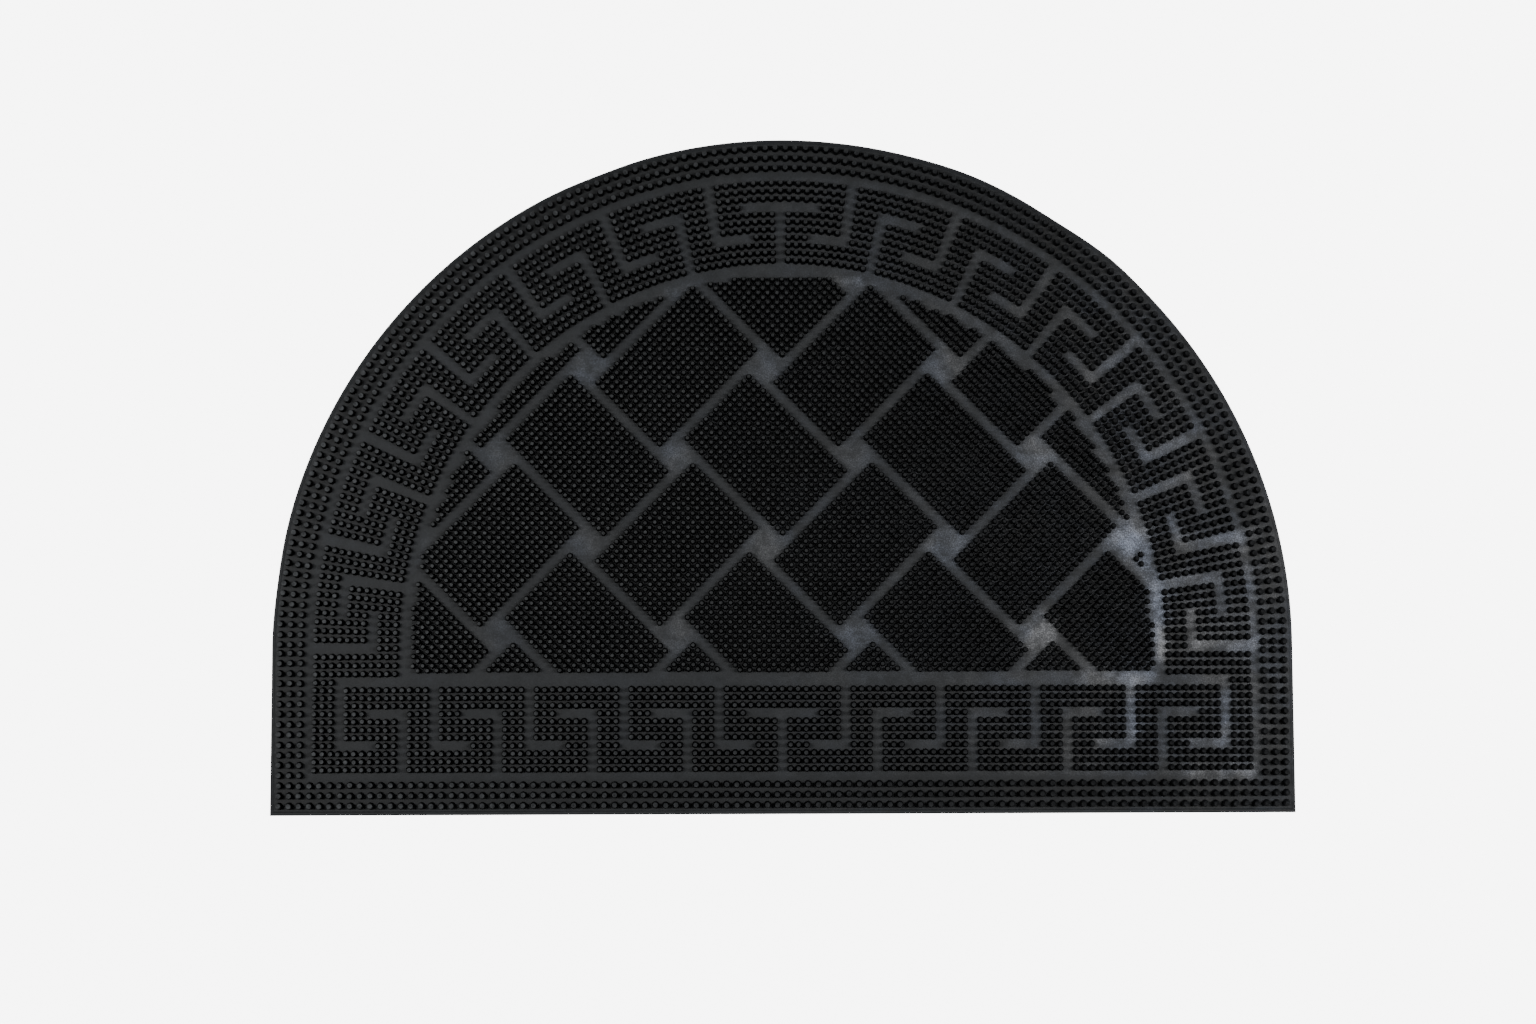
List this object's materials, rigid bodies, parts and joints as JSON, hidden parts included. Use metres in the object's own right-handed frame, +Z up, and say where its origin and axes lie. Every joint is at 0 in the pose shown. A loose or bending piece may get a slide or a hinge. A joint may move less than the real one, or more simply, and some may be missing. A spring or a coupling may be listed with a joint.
{
  "type": "half-round moulded rubber pin doormat",
  "caption": "Flat half-round black rubber doormat with pins in a basket weave field, a Greek key band and pin rows along its border.",
  "frame": {"origin": "middle of the mat's bounding box, on the floor", "axes": "+X along the straight edge, -Y towards the straight edge, +Z up out of the pins"},
  "size_m": [0.6, 0.4, 0.007],
  "materials": {
    "rubber": "matte"
  },
  "bodies": {
    "root": {"mat": "rubber"}
  },
  "joints": []
}
